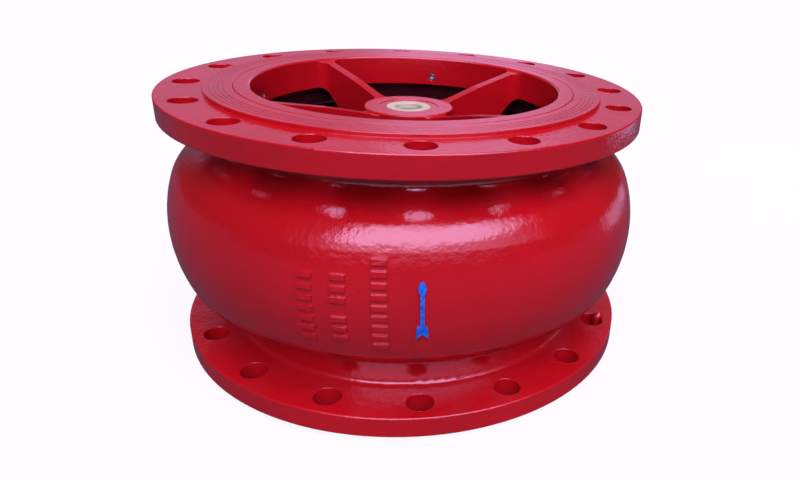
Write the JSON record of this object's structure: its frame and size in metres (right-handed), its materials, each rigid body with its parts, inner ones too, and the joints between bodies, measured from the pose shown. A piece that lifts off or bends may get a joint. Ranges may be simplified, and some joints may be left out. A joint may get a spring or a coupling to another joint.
{
  "type": "axial check valve",
  "caption": "Double-flanged axial check valve with a bulged body, a four-ribbed outlet guide and a spring-closed disc that lifts off an inlet seat.",
  "frame": {"origin": "middle of the inlet raised face, on the valve axis", "axes": "+Z along the flow from inlet to outlet, -Y towards the flow arrow on the belly, a bolt hole on every row axis"},
  "size_m": [0.5291, 0.5313, 0.29],
  "materials": {
    "red_epoxy": "glossy epoxy coat over a casting",
    "arrow_blue": "brushed-on gloss paint",
    "screw_steel": "bright zinc",
    "stainless": "turned",
    "spring_steel": "drawn wire",
    "seat_bronze": "turned bronze",
    "disc_iron": "black coat over a casting",
    "black_rubber": "moulded",
    "bush_polymer": "turned polymer"
  },
  "bodies": {
    "valve": {"valve_body": "red_epoxy", "flow_arrow": "arrow_blue", "outlet_guide": "red_epoxy", "outlet_guide_screws": "screw_steel", "outlet_bush": "bush_polymer", "inner_bush": "bush_polymer", "seat_carrier": "red_epoxy", "seat_carrier_screws": "screw_steel", "seat_ring": "seat_bronze", "seat_carrier_oring": "black_rubber", "spring": "spring_steel", "spring_plate": "stainless"},
    "spring_foot_washer": {"spring_foot": "stainless"},
    "disc_assembly": {"disc": "disc_iron", "disc_seal": "black_rubber", "seal_plate": "stainless", "seal_plate_screws": "screw_steel", "shaft": "stainless", "shaft_oring": "black_rubber", "shaft_washer": "stainless", "shaft_nut": "screw_steel", "shaft_lock_pin": "screw_steel"}
  },
  "joints": [
    {"name": "disc_lift", "type": "slide", "parent": "valve", "child": "spring_foot_washer", "axis": [0, 0, 1], "range_m": [0, 0.06], "stiffness_N_per_m": 13200, "springref_m": -0.02, "deforming": ["spring"]},
    {"name": "disc_spin", "type": "hinge", "parent": "spring_foot_washer", "child": "disc_assembly", "pos_m": [0, 0, 0.08], "axis": [0, 0, 1], "continuous": true}
  ]
}
